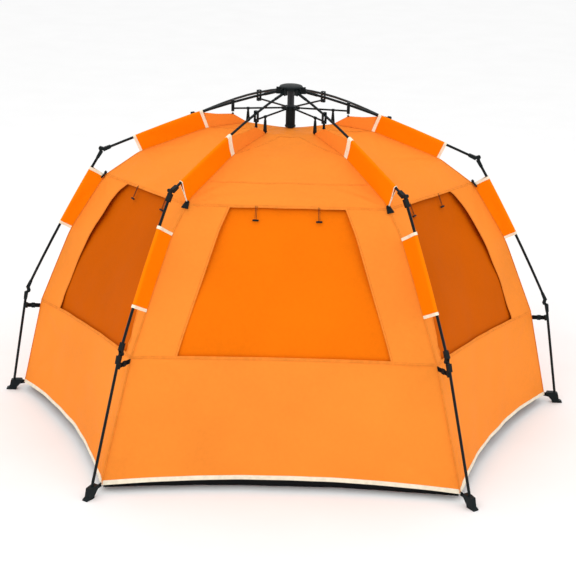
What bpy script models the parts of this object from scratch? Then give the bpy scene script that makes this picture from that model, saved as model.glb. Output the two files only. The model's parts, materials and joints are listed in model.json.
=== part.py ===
"""Six-legged pop-up tarp shelter on an outside umbrella frame.

The hub stands on top. Six bowed ribs turn on it, and six struts run from a runner on the centre column to
a bracket on each rib. Each rib ends in a knee, an upper leg, a second knee, a lower leg and a foot.
The fabric canopy hangs inside the frame. Metres, +Z up, +X right, -Y front, origin on the ground under the hub.
"""

from math import atan2, cos, hypot, pi, radians, sin

import bmesh
import bpy
from mathutils import Matrix, Vector

# Overall size: where each leg's joints stand, as (distance from the centre line, height).
END_LEG_AZIMUTH = radians(55.2)  # front and rear legs, measured from the X axis
HUB_PIVOT = (0.056, 1.4220)
STRUT_PIVOT = (0.034, 1.350)
BRACKET_JOINT = (0.250, 1.342)
SIDE_LEG = {"upper": (0.820, 1.143), "lower": (1.171, 0.486), "foot": (1.250, 0.0)}
END_LEG = {"upper": (0.814, 1.150), "lower": (1.134, 0.560), "foot": (1.3275, 0.0)}
LEGS = {
    "right": (0.0, SIDE_LEG),
    "rear_right": (END_LEG_AZIMUTH, END_LEG),
    "rear_left": (pi - END_LEG_AZIMUTH, END_LEG),
    "left": (pi, SIDE_LEG),
    "front_left": (pi + END_LEG_AZIMUTH, END_LEG),
    "front_right": (-END_LEG_AZIMUTH, END_LEG),
}

# Poles
RIB_BOW = 0.019  # how far the middle of a rib arches above its chord
RIB_SKEW = 0.35  # how much fuller the arch is towards the hub
LEG_BOW = 0.008
RIB_RADIUS = 0.0055
LEG_RADIUS = 0.0060
STRUT_RADIUS = 0.0040
ARM_RADIUS = 0.0065  # thicker socket at the hub end of a rib
ARM_LENGTH = 0.060
TUBE_SIDES = 10
BOW_STEPS = 8
FIT_GAP = 0.0003

# Knees
KNEE_OFFSET = 0.010  # from each pole's axis to the knee's pin
KNEE_EYE = 0.0080  # radius of the rounded ends round the pin
KNEE_START = 0.0095  # from the pin to where the pole sockets begin, along the pole
KNEE_SOCKET = 0.034
KNEE_HALF_WIDTH = 0.0090
KNEE_HALF_HEIGHT = 0.0085
TONGUE_HALF = 0.0050
CHEEK_INNER = 0.0054
CHEEK_OUTER = 0.0084
PIN_RADIUS = 0.0025
PIN_SIDES = 10
SOCKET_GRIP = 0.018  # how deep a pole sits in its socket

# Hub, runner and column
COLUMN_RADIUS = 0.0150
COLUMN_BOTTOM = 1.263
GROOVE_SPAN = (1.370, 1.408)  # latch groove, front and back
GROOVE_WIDTH = 0.007
GROOVE_DEPTH = 0.003
HUB_RADIUS = 0.047
HUB_DISC = (1.4320, 1.4420)
HUB_EAR = (0.040, 0.0635)
HUB_EAR_BOTTOM = 1.4130
HUB_EAR_GAP = 0.0070
HUB_EAR_THICK = 0.0030
CAP_RADIUS = 0.050
CAP_TOP = 1.4525
RUNNER_RADIUS = 0.0205
RUNNER_SPAN = (1.268, 1.356)
RUNNER_EAR_REACH = 0.0400
RUNNER_EAR_GAP = 0.0031
RUNNER_EAR_THICK = 0.0022
STRUT_EYE = 0.0055
STRUT_EYE_HALF = 0.0027
STRUT_PIN = 0.0015
STRUT_NECK = (0.0095, 0.012)  # where the rod starts and the flat neck ends, from the inner pivot
ROUND_SIDES = 24

# Bracket on a rib
BRACKET_LENGTH = 0.013
BRACKET_HALF_WIDTH = 0.0090
BRACKET_ABOVE = 0.0110
BRACKET_BELOW = 0.0380
BRACKET_WINDOW = (0.0340, 0.0088)  # its opening, below and above the rib's axis

# Foot, as distances outwards from the pole's end and heights
FOOT_OUTLINE = [
    (0.028, 0.0), (0.028, 0.005), (0.014, 0.012), (0.006, 0.046),
    (-0.018, 0.050), (-0.042, 0.050), (-0.046, 0.040), (-0.020, 0.012), (-0.016, 0.0),
]
FOOT_HALF_WIDTH = 0.012

# Canopy: the fabric's corner line under a side leg and under a front or rear leg
CANOPY_THICKNESS = 0.002
CROWN_TIE = (0.020, 1.2620)  # the level middle of the roof, under the column
ROOF_SIDE = [(0.188, 1.283), (0.357, 1.256), (0.654, 1.142), (0.809, 1.030)]
ROOF_FRONT = [(0.180, 1.272), (0.409, 1.224), (0.690, 1.098), (0.715, 1.075)]
ROOF_REAR = [(0.180, 1.224), (0.409, 1.184), (0.690, 1.096), (0.715, 1.075)]
WALL_SIDE = [(0.809, 1.030), (0.969, 0.776), (1.116, 0.415), (1.195, 0.038)]
WALL_END = [(0.715, 1.075), (0.803, 0.985), (1.065, 0.527), (1.256, 0.036)]
HEM_ARCH = 0.020  # how far the middle of a wall's hem stands above its corners, and inside them
HEM_BOW = 0.060
HEM_STEPS = 6
SEAM_GAP = 0.0006
WALL_NAMES = ["wall_right_rear", "wall_rear", "wall_left_rear", "wall_left_front", "wall_front",
              "wall_right_front"]

BLACK_PLASTIC = ((0.020, 0.022, 0.024), 0.45, 0.0)
BLACK_POLE = ((0.016, 0.017, 0.018), 0.35, 0.0)
DARK_METAL = ((0.050, 0.052, 0.055), 0.35, 0.8)
ORANGE_FABRIC = ((0.90, 0.26, 0.03), 0.75, 0.0)


def clear_scene():
    for obj in list(bpy.data.objects):
        bpy.data.objects.remove(obj, do_unlink=True)


def make_material(name, look):
    colour, roughness, metallic = look
    material = bpy.data.materials.new(name)
    material.use_nodes = True
    shader = material.node_tree.nodes["Principled BSDF"]
    shader.inputs["Base Color"].default_value = (*colour, 1.0)
    shader.inputs["Roughness"].default_value = roughness
    shader.inputs["Metallic"].default_value = metallic
    return material


# Shapes. A leg's parts are drawn in its own plane: x outwards, y across, z up.


def mesh_from(bm):
    bmesh.ops.recalc_face_normals(bm, faces=bm.faces)
    mesh = bpy.data.meshes.new("shape")
    bm.to_mesh(mesh)
    bm.free()
    return mesh


def box(low, high):
    bm = bmesh.new()
    bmesh.ops.create_cube(bm, size=1.0)
    size = Vector(high) - Vector(low)
    middle = (Vector(high) + Vector(low)) / 2
    bmesh.ops.scale(bm, vec=size, verts=bm.verts)
    bmesh.ops.translate(bm, vec=middle, verts=bm.verts)
    return mesh_from(bm)


def slab(outline, half_width, middle=0.0):
    """A flat plate: an outline of (x, z) points, with its thickness across."""
    bm = bmesh.new()
    near = [bm.verts.new((x, middle - half_width, z)) for x, z in outline]
    face = bm.faces.new(near)
    made = bmesh.ops.extrude_face_region(bm, geom=[face])
    moved = [v for v in made["geom"] if isinstance(v, bmesh.types.BMVert)]
    bmesh.ops.translate(bm, vec=(0, 2 * half_width, 0), verts=moved)
    return mesh_from(bm)


def swept_tube(path, radius, sides=TUBE_SIDES):
    """A rod along (x, z) points of a leg's plane, with a flat cap at each end."""
    bm = bmesh.new()
    rings = []
    for i, (x, z) in enumerate(path):
        before, after = path[max(i - 1, 0)], path[min(i + 1, len(path) - 1)]
        along = Vector((after[0] - before[0], 0, after[1] - before[1])).normalized()
        normal = Vector((-along.z, 0, along.x))
        ring = []
        for k in range(sides):
            turn = 2 * pi * (k + 0.5) / sides
            offset = normal * (radius * cos(turn)) + Vector((0, radius * sin(turn), 0))
            ring.append(bm.verts.new(Vector((x, 0, z)) + offset))
        rings.append(ring)
    for first, second in zip(rings, rings[1:]):
        for k in range(sides):
            bm.faces.new((first[k], first[k - 1], second[k - 1], second[k]))
    bm.faces.new(rings[0])
    bm.faces.new(rings[-1])
    return mesh_from(bm)


def rod_across(x, z, radius, half_length, sides=PIN_SIDES):
    """A pin with its axis across the leg's plane."""
    turns = [2 * pi * k / sides for k in range(sides)]
    return slab([(x + radius * cos(a), z + radius * sin(a)) for a in turns], half_length)


def turned(profile, sides=ROUND_SIDES):
    """A closed (radius, height) profile spun round the centre line."""
    bm = bmesh.new()
    rings = []
    for radius, height in profile:
        if radius == 0:
            rings.append([bm.verts.new((0, 0, height))] * sides)
            continue
        spots = [2 * pi * k / sides for k in range(sides)]
        rings.append([bm.verts.new((radius * cos(a), radius * sin(a), height)) for a in spots])
    pairs = list(zip(rings, rings[1:]))
    if profile[0][0] and profile[-1][0]:
        pairs.append((rings[-1], rings[0]))
    for first, second in pairs:
        for k in range(sides):
            corners = [first[k - 1], first[k], second[k], second[k - 1]]
            bm.faces.new(dict.fromkeys(corners))
    return mesh_from(bm)


def combine(start, others, operation):
    """The start mesh joined with, or cut by, each of the others."""
    base = bpy.data.objects.new("base", start)
    bpy.context.scene.collection.objects.link(base)
    tools = []
    for mesh in others:
        tool = bpy.data.objects.new("tool", mesh)
        bpy.context.scene.collection.objects.link(tool)
        step = base.modifiers.new("step", "BOOLEAN")
        step.operation = operation
        step.solver = "EXACT"
        step.object = tool
        tools.append(tool)
    graph = bpy.context.evaluated_depsgraph_get()
    result = bpy.data.meshes.new_from_object(base.evaluated_get(graph))
    for obj in (base, *tools):
        bpy.data.objects.remove(obj, do_unlink=True)
    return result


def join(start, *others):
    return combine(start, others, "UNION")


def cut(start, *others):
    return combine(start, others, "DIFFERENCE")


# Lines and points in a leg's plane


def step_along(point, direction, distance):
    return point[0] + direction[0] * distance, point[1] + direction[1] * distance


def unit(start, end):
    length = hypot(end[0] - start[0], end[1] - start[1])
    return (end[0] - start[0]) / length, (end[1] - start[1]) / length


def bowed(start, end, rise, skew=0.0, steps=BOW_STEPS):
    """Points from start to end along an arch that stands rise above the chord at its middle, outwards.

    A skew makes it fuller near its start."""
    along = unit(start, end)
    outwards = (-along[1], along[0])
    points = []
    for i in range(steps + 1):
        t = i / steps
        x = start[0] + (end[0] - start[0]) * t
        z = start[1] + (end[1] - start[1]) * t
        height = 4 * rise * t * (1 - t) * (1 + skew * (1 - 2 * t))
        points.append(step_along((x, z), outwards, height))
    return points


class Knee:
    """A knee between two poles that meet at a corner, with its pin beside both axes."""

    def __init__(self, corner, parent_end, child_end, side):
        """side is 1 for a pin outside the bend, and -1 for a pin inside it."""
        self.corner = corner
        self.back = unit(corner, parent_end)
        self.out = unit(corner, child_end)
        middle = (self.back[0] + self.out[0], self.back[1] + self.out[1])
        size = hypot(*middle)
        inward = (middle[0] / size, middle[1] / size)
        half_angle_sine = abs(inward[0] * self.out[1] - inward[1] * self.out[0])
        self.pin = step_along(corner, inward, -side * KNEE_OFFSET / half_angle_sine)

    def foot_of_pin(self, direction):
        """The point on a pole's axis that stands beside the pin."""
        reach = (self.pin[0] - self.corner[0]) * direction[0] + (self.pin[1] - self.corner[1]) * direction[1]
        return step_along(self.corner, direction, reach)

    def socket_start(self, direction):
        return step_along(self.foot_of_pin(direction), direction, KNEE_START)

    def socket_end(self, direction):
        return step_along(self.foot_of_pin(direction), direction, KNEE_START + KNEE_SOCKET)

    def socket_outline(self, direction):
        across = (-direction[1], direction[0])
        start, end = self.socket_start(direction), self.socket_end(direction)
        neck = KNEE_HALF_HEIGHT - 0.0015
        return [
            step_along(start, across, KNEE_HALF_HEIGHT),
            step_along(start, across, -KNEE_HALF_HEIGHT),
            step_along(end, across, -neck),
            step_along(end, across, neck),
        ]

    def eye_outline(self, direction):
        """The rounded end about the pin, run into the start of the socket."""
        across = (-direction[1], direction[0])
        beside = self.foot_of_pin(direction)
        turn = (self.pin[0] - beside[0]) * across[0] + (self.pin[1] - beside[1]) * across[1]
        sign = 1 if turn > 0 else -1
        inside = step_along(self.socket_start(direction), direction, 0.004)
        lean = atan2(direction[1], direction[0])
        points = []
        for k in range(9):
            angle = lean + sign * (pi / 2 + pi * k / 8)
            points.append(step_along(self.pin, (cos(angle), sin(angle)), KNEE_EYE))
        far = step_along(inside, across, -sign * (KNEE_HALF_HEIGHT - 0.001))
        near = step_along(inside, across, sign * (KNEE_HALF_HEIGHT - 0.001))
        return [*points, far, near]

    def fork(self):
        """The parent pole's half: a bored socket, two cheeks and the pin."""
        socket = slab(self.socket_outline(self.back), KNEE_HALF_WIDTH)
        thick = (CHEEK_OUTER - CHEEK_INNER) / 2
        cheeks = [slab(self.eye_outline(self.back), thick, side * (CHEEK_INNER + thick)) for side in (1, -1)]
        pin = rod_across(*self.pin, PIN_RADIUS, CHEEK_OUTER - 0.0005)
        mouth = step_along(self.socket_end(self.back), self.back, 0.002)
        bottom = step_along(self.socket_end(self.back), self.back, -SOCKET_GRIP - FIT_GAP)
        bore = swept_tube([mouth, bottom], self.pole_radius + FIT_GAP)
        return cut(join(socket, *cheeks, pin), bore)

    def tongue(self):
        """The child pole's half: a solid socket and the tongue that turns on the pin."""
        socket = slab(self.socket_outline(self.out), KNEE_HALF_WIDTH)
        tongue = slab(self.eye_outline(self.out), TONGUE_HALF)
        hole = rod_across(*self.pin, PIN_RADIUS + FIT_GAP, 2 * TONGUE_HALF)
        return cut(join(socket, tongue), hole)


def leg_knees(leg):
    """The upper and the lower knee of a leg, and the bowed lines of its rib and upper leg."""
    rib_line = bowed(HUB_PIVOT, leg["upper"], RIB_BOW, RIB_SKEW)
    leg_line = bowed(leg["upper"], leg["lower"], LEG_BOW)
    upper = Knee(leg["upper"], rib_line[-2], leg_line[1], 1)
    upper.pole_radius = RIB_RADIUS
    lower = Knee(leg["lower"], leg_line[-2], leg["foot"], -1)
    lower.pole_radius = LEG_RADIUS
    return upper, lower, rib_line, leg_line


def pole_line(points, start, end):
    """A bowed line's inner points between two cut-off ends."""
    inner = points[1:-1]
    return [start, *inner, end]


# Frame parts, each in its leg's plane


def rib_shape(leg):
    upper, _, rib_line, _ = leg_knees(leg)
    grip = step_along(upper.socket_end(upper.back), upper.back, -SOCKET_GRIP)
    tube = swept_tube(pole_line(rib_line, HUB_PIVOT, grip), RIB_RADIUS)
    along = unit(rib_line[0], rib_line[1])
    arm = swept_tube([HUB_PIVOT, step_along(HUB_PIVOT, along, ARM_LENGTH)], ARM_RADIUS)
    eye = rod_across(*HUB_PIVOT, ARM_RADIUS, ARM_RADIUS - 0.0002, 14)
    hole = rod_across(*HUB_PIVOT, PIN_RADIUS + FIT_GAP, 2 * ARM_RADIUS)
    return cut(join(tube, arm, eye), hole)


def strut_shape():
    start, end = STRUT_PIVOT, BRACKET_JOINT
    along = unit(start, end)
    rod_start = step_along(start, along, STRUT_NECK[0])
    tube = swept_tube([rod_start, step_along(end, along, -0.004)], STRUT_RADIUS, 8)
    root_eye = rod_across(*start, STRUT_EYE, STRUT_EYE_HALF, 12)
    reach = start[0] + STRUT_NECK[1]
    neck = slab([(start[0], start[1] - 0.003), (reach, start[1] - 0.003), (reach, start[1] + 0.003),
                 (start[0], start[1] + 0.003)], STRUT_EYE_HALF - 0.0003)
    tip_eye = rod_across(*end, STRUT_EYE - 0.001, STRUT_EYE_HALF, 12)
    hole = rod_across(*start, STRUT_PIN + FIT_GAP, 2 * STRUT_EYE_HALF)
    return cut(join(tube, root_eye, neck, tip_eye), hole)


def bracket_shape(leg):
    """An upright clip round the rib, open lengthwise for the rib and, under it, the strut's tip."""
    _, _, rib_line, _ = leg_knees(leg)
    inner, outer = next((a, b) for a, b in zip(rib_line, rib_line[1:]) if a[0] <= BRACKET_JOINT[0] < b[0])
    share = (BRACKET_JOINT[0] - inner[0]) / (outer[0] - inner[0])
    height = inner[1] + (outer[1] - inner[1]) * share
    half = BRACKET_LENGTH / 2
    clear = RIB_RADIUS + 0.0005
    block = box((-half, -BRACKET_HALF_WIDTH, -BRACKET_BELOW), (half, BRACKET_HALF_WIDTH, BRACKET_ABOVE))
    window = box((-2 * half, -clear, -BRACKET_WINDOW[0]), (2 * half, clear, BRACKET_WINDOW[1]))
    shape = cut(block, window)
    shape.transform(Matrix.Translation((BRACKET_JOINT[0], 0, height)))
    return shape


def upper_leg_shape(leg):
    upper, lower, _, leg_line = leg_knees(leg)
    start = upper.socket_start(upper.out)
    end = step_along(lower.socket_end(lower.back), lower.back, -SOCKET_GRIP)
    start = step_along(start, upper.out, 0.005)
    return join(upper.tongue(), swept_tube(pole_line(leg_line, start, end), LEG_RADIUS))


def lower_leg_shape(leg):
    _, lower, _, _ = leg_knees(leg)
    start = step_along(lower.socket_start(lower.out), lower.out, 0.005)
    end = step_along(leg["foot"], lower.out, -0.010)
    return join(lower.tongue(), swept_tube([start, end], LEG_RADIUS))


def foot_shape(leg):
    _, lower, _, _ = leg_knees(leg)
    end = leg["foot"]
    block = slab([(end[0] + x, z) for x, z in FOOT_OUTLINE], FOOT_HALF_WIDTH)
    bottom = step_along(end, lower.out, -0.010 + FIT_GAP)
    bore = swept_tube([step_along(end, lower.out, -0.080), bottom], LEG_RADIUS + FIT_GAP)
    return cut(block, bore)


# Parts on the centre line


def ears(reach, heights, gap, thick, pivot, pin_radius):
    """For every leg a pair of ears with a pin between them."""
    made = []
    for azimuth, _ in LEGS.values():
        turn = Matrix.Rotation(azimuth, 4, "Z")
        near = box((reach[0], -gap - thick, heights[0]), (reach[1], -gap, heights[1]))
        far = box((reach[0], gap, heights[0]), (reach[1], gap + thick, heights[1]))
        pin = rod_across(*pivot, pin_radius, gap + thick / 2)
        for mesh in (near, far, pin):
            mesh.transform(turn)
            made.append(mesh)
    return made


def hub_body_shape():
    bore = COLUMN_RADIUS + FIT_GAP
    disc = turned([(bore, HUB_DISC[0]), (HUB_RADIUS, HUB_DISC[0]), (HUB_RADIUS, HUB_DISC[1]), (bore, HUB_DISC[1])])
    return join(disc, *ears(HUB_EAR, (HUB_EAR_BOTTOM, HUB_DISC[1] - 0.002), HUB_EAR_GAP, HUB_EAR_THICK,
                            HUB_PIVOT, PIN_RADIUS))


def hub_cap_shape():
    base = HUB_DISC[1] + FIT_GAP
    rise = CAP_TOP - base - 0.003
    dome = [(CAP_RADIUS * cos(a), base + 0.003 + rise * sin(a)) for a in (pi / 2 * k / 6 for k in range(6))]
    return turned([(0, base), (CAP_RADIUS, base), *dome, (0, CAP_TOP)])


def column_shape():
    rod = turned([(0, COLUMN_BOTTOM), (COLUMN_RADIUS - 0.002, COLUMN_BOTTOM), (COLUMN_RADIUS, COLUMN_BOTTOM + 0.002),
                  (COLUMN_RADIUS, HUB_DISC[1]), (0, HUB_DISC[1])])
    half = GROOVE_WIDTH / 2
    floor = COLUMN_RADIUS - GROOVE_DEPTH
    back = box((-half, floor, GROOVE_SPAN[0]), (half, 2 * COLUMN_RADIUS, GROOVE_SPAN[1]))
    front = box((-half, -2 * COLUMN_RADIUS, GROOVE_SPAN[0]), (half, -floor, GROOVE_SPAN[1]))
    return cut(rod, back, front)


def runner_shape():
    bore = COLUMN_RADIUS + FIT_GAP
    low, high = RUNNER_SPAN
    lip = RUNNER_RADIUS + 0.003
    sleeve = turned([
        (bore, low), (lip, low), (lip, low + 0.006), (RUNNER_RADIUS, low + 0.009),
        (RUNNER_RADIUS, high), (bore, high),
    ])
    reach = (COLUMN_RADIUS + 0.003, RUNNER_EAR_REACH)
    heights = (STRUT_PIVOT[1] - 0.006, high - 0.001)
    return join(sleeve, *ears(reach, heights, RUNNER_EAR_GAP, RUNNER_EAR_THICK, STRUT_PIVOT, STRUT_PIN))


# Canopy


def on_corner(azimuth, point, shift=0.0):
    """A corner line's point in the room, moved shift across towards the next leg round."""
    x, z = point
    return Vector((x * cos(azimuth) - shift * sin(azimuth), x * sin(azimuth) + shift * cos(azimuth), z))


def inner_line(line):
    """The line one thickness inside a corner line."""
    points = []
    for i, point in enumerate(line):
        along = unit(line[max(i - 1, 0)], line[min(i + 1, len(line) - 1)])
        points.append(step_along(point, (along[1], -along[0]), CANOPY_THICKNESS))
    return points


def thick_sheet(outer_rows, inner_rows, ring):
    """A closed thin solid from matching rows of outer and inner points. A ring's rows close on themselves."""
    bm = bmesh.new()
    count = len(outer_rows[0])
    outer = [[bm.verts.new(p) for p in row] for row in outer_rows]
    inner = [[bm.verts.new(p) for p in row] for row in inner_rows]
    spans = range(count) if ring else range(count - 1)
    for rows in (outer, inner):
        for first, second in zip(rows, rows[1:]):
            for k in spans:
                n = (k + 1) % count
                bm.faces.new((first[k], first[n], second[n], second[k]))
    ends = [(outer[-1], inner[-1])]
    if ring:
        for rows in (outer, inner):
            bm.faces.new(rows[0])
    else:
        ends.append((outer[0], inner[0]))
        for k in (0, count - 1):
            for i in range(len(outer) - 1):
                bm.faces.new((outer[i][k], outer[i + 1][k], inner[i + 1][k], inner[i][k]))
    for one, two in ends:
        for k in spans:
            n = (k + 1) % count
            bm.faces.new((one[k], one[n], two[n], two[k]))
    bmesh.ops.triangulate(bm, faces=bm.faces)
    return mesh_from(bm)


def roof_line(azimuth, leg):
    if leg is SIDE_LEG:
        return ROOF_SIDE
    return ROOF_REAR if sin(azimuth) > 0 else ROOF_FRONT


def roof_shape():
    def rows(inside):
        lines = []
        for azimuth, leg in LEGS.values():
            line = [CROWN_TIE, *roof_line(azimuth, leg)]
            line = inner_line(line) if inside else line
            lines.append([on_corner(azimuth, point) for point in line])
        return list(zip(*lines))

    return thick_sheet(rows(False), rows(True), True)


def wall_shape(start, end):
    """One fabric wall between two neighbouring legs, from the eave down to its arched hem."""
    def rows(inside):
        corners = []
        for (azimuth, leg), shift in ((start, SEAM_GAP), (end, -SEAM_GAP)):
            line = list(WALL_SIDE if leg is SIDE_LEG else WALL_END)
            line[0] = step_along(line[0], unit(line[0], line[1]), 2 * SEAM_GAP)
            line = inner_line(line) if inside else line
            corners.append([on_corner(azimuth, point, shift) for point in line])
        outwards = corners[0][-1] + corners[1][-1]
        outwards.z = 0
        hem_pull = Vector((0, 0, HEM_ARCH)) - HEM_BOW * outwards.normalized()
        shares = [k / HEM_STEPS for k in range(HEM_STEPS + 1)]
        made = []
        for i, (a, b) in enumerate(zip(*corners)):
            pull = hem_pull if i == len(corners[0]) - 1 else Vector()
            made.append([a.lerp(b, t) + pull * (4 * t * (1 - t)) for t in shares])
        return made

    return thick_sheet(rows(False), rows(True), False)


# Placing


def place(name, mesh, pivot, azimuth, material):
    """Puts a shape drawn in its leg's plane at that leg, with the object's origin on its own joint's axis."""
    mesh.transform(Matrix.Translation((-pivot[0], 0, -pivot[1])))
    mesh.name = name
    mesh.materials.clear()
    mesh.materials.append(material)
    mesh.shade_smooth()
    mesh.set_sharp_from_angle(angle=radians(35))
    obj = bpy.data.objects.new(name, mesh)
    obj.location = (pivot[0] * cos(azimuth), pivot[0] * sin(azimuth), pivot[1])
    obj.rotation_euler.z = azimuth
    bpy.context.scene.collection.objects.link(obj)
    return obj


def place_copy(name, mesh, pivot, azimuth):
    obj = bpy.data.objects.new(name, mesh)
    obj.location = (pivot[0] * cos(azimuth), pivot[0] * sin(azimuth), pivot[1])
    obj.rotation_euler.z = azimuth
    bpy.context.scene.collection.objects.link(obj)
    return obj


def build_legs(plastic, pole):
    shapes = {}
    for name, (azimuth, leg) in LEGS.items():
        upper, lower, _, _ = leg_knees(leg)
        parts = {
            "rib": (rib_shape, HUB_PIVOT, pole),
            "bracket": (bracket_shape, HUB_PIVOT, plastic),
            "upper_knee": (lambda leg: leg_knees(leg)[0].fork(), HUB_PIVOT, plastic),
            "upper_leg": (upper_leg_shape, upper.pin, pole),
            "lower_knee": (lambda leg: leg_knees(leg)[1].fork(), upper.pin, plastic),
            "lower_leg": (lower_leg_shape, lower.pin, pole),
            "foot": (foot_shape, lower.pin, plastic),
            "strut": (lambda leg: strut_shape(), STRUT_PIVOT, pole),
        }
        for part, (shape, pivot, material) in parts.items():
            key = part, leg is SIDE_LEG
            if key in shapes:
                place_copy(f"{part}_{name}", shapes[key], pivot, azimuth)
            else:
                shapes[key] = place(f"{part}_{name}", shape(leg), pivot, azimuth, material).data


def build_centre(plastic, metal):
    place("hub_body", hub_body_shape(), (0, 0), 0, plastic)
    place("hub_cap", hub_cap_shape(), (0, 0), 0, plastic)
    place("column", column_shape(), (0, 0), 0, metal)
    place("runner", runner_shape(), (0, 0), 0, plastic)


def build_canopy(fabric):
    place("canopy_roof", roof_shape(), (0, 0), 0, fabric)
    round_about = list(LEGS.values())
    for name, start, end in zip(WALL_NAMES, round_about, round_about[1:] + round_about[:1]):
        place(name, wall_shape(start, end), (0, 0), 0, fabric)


def main():
    clear_scene()
    plastic = make_material("black_plastic", BLACK_PLASTIC)
    pole = make_material("black_pole", BLACK_POLE)
    metal = make_material("dark_metal", DARK_METAL)
    fabric = make_material("orange_fabric", ORANGE_FABRIC)
    build_centre(plastic, metal)
    build_legs(plastic, pole)
    build_canopy(fabric)


main()
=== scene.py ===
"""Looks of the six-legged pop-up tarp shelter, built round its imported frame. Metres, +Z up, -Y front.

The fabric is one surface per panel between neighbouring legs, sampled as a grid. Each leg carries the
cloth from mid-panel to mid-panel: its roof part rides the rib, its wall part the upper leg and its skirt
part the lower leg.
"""

import json
from math import atan2, cos, hypot, pi, radians, sin

import bmesh
import bpy
import numpy as np
from mathutils import Matrix, Vector


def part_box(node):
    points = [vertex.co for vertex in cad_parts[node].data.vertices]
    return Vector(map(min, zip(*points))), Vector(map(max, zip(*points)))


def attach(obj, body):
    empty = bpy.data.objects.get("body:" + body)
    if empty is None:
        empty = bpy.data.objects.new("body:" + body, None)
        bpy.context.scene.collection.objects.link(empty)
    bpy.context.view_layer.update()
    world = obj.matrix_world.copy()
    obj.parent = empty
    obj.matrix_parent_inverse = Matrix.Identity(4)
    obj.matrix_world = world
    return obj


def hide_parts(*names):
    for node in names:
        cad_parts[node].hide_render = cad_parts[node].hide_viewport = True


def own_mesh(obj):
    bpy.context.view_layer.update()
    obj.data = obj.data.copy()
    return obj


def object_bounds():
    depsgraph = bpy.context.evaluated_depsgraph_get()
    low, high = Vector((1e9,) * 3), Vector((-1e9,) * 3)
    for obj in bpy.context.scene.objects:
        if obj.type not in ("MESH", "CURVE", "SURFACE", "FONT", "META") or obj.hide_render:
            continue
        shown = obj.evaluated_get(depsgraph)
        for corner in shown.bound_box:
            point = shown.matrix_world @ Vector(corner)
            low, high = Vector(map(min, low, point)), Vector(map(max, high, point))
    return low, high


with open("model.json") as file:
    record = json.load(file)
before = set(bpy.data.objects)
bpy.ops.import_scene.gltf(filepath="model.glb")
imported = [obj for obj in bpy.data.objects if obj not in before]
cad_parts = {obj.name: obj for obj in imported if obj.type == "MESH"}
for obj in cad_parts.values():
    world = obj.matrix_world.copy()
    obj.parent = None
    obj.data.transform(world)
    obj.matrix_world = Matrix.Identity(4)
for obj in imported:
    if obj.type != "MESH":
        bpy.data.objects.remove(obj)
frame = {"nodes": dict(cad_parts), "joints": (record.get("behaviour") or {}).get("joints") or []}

cad_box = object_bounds()

JOINTS = {joint["name"]: joint for joint in frame["joints"]}
LEG_NAMES = ["right", "rear_right", "rear_left", "left", "front_left", "front_right"]

# Camera and light
CAMERA_DISTANCE = 6.775
CAMERA_HEIGHT = 2.906
CAMERA_YAW = radians(0.24)
CAMERA_PITCH = radians(-19.35)
CAMERA_ROLL = radians(1.32)
CAMERA_LENS = 99.75
CAMERA_SHIFT = (0.0026, -0.0014)

# Cloth
CLOTH = 0.0010
HALF_COLUMNS = 26
STRIP_COLUMNS = 9
ROWS = {"crown": 8, "shoulder": 10, "roof": 22, "eaves": 14, "wall": 34, "skirt": 26}
HEM_BOW = 0.055
HEM_ARCH = 0.016
CROWN_SAG = 0.014
WINDOW_RECESS = 0.013
WINDOW_WAVE = 0.009  # how far the cover bellies in at its top half and out at its bottom half
WINDOW_INSET = {"middle": (0.215, 0.150), "side": (0.250, 0.195), "end": (0.195, 0.055)}  # at top, bottom
WINDOW_CURVE = 1.25
WINDOW_ROUND = {"middle": 0.0, "side": 0.045, "end": 0.0}  # rounding of the top corner, as a share of width
WINDOW_OVERLAP = 3  # how many columns the cover reaches behind the wall strip
STRIP_BELLY = 0.012  # how far a side of a wall stands out, halfway between the leg and mid-panel
MIDDLE_SAG = 0.010
DRAG_REACH = 0.16  # how far from a fixing its folds fade
DRAG_CLEAR = 0.09  # and how far from it they reach their full height
HEM_WAVE = 0.0040
SMALL_WAVES = (0.0016, 0.0012)
SLEEVE_BINDING = 0.011
SLEEVE_SPOTS = 15
SLEEVE_SLACK = 0.0010
WALL_SLEEVE = {"side": (0.0, 0.445), "end": (0.205, 0.716)}  # as shares of the wall's rows
PEAK_DROP = {"side": 0.012, "end": 0.022}  # from the bracket down to the gusset's peak
FLAP_FOOT = 0.004
FLAP_INSET = (0.010, 0.030)  # how far inside the hem the flap's top and foot stand
RIB_RADIUS = 0.0055
LEG_RADIUS = 0.0060
SIDE_SEAM_RISE = 0.030

# Fittings
TOGGLE_PART = {"middle": 0.345, "side": 0.43, "end": 0.23}  # from the leg, as a share of the panel's width
TOGGLE_DROP = 0.060
TOGGLE_RADIUS = 0.0040
ELASTIC_RADIUS = 0.0009
ELASTIC_GAP = 0.0028
WEBBING = 0.0022
TAPE_SINK = 0.0004  # how deep a seam tape sits in the cloth
STRAP_WIDTH = {"peak": 0.012, "crown": 0.009, "wall": 0.020, "foot": 0.018}
CROWN_HOOK_SHARE = 0.68  # where the crown's hook hangs, as a share of the strut
CROWN_HOOK = (0.018, 0.007)
PEAK_HOOK = (0.010, 0.013, 0.003)
EAVE_TAB = (0.034, 0.034, 0.007)
EAVE_KNOB = (0.014, 0.010, 0.006)
BUCKLE = (0.016, 0.006, 0.024)
STRUT_COLLAR = (0.006, 0.0062)  # half length and radius
SHIN_COLLAR = (0.011, 0.0088)
GUSSET_GRID = (6, 16)
GUSSET_THICKNESS = 0.0012
RIM_WIRE = 0.0016
SHARP_ANGLE = 40  # edges sharper than this many degrees stay sharp on moulded pieces


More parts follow.
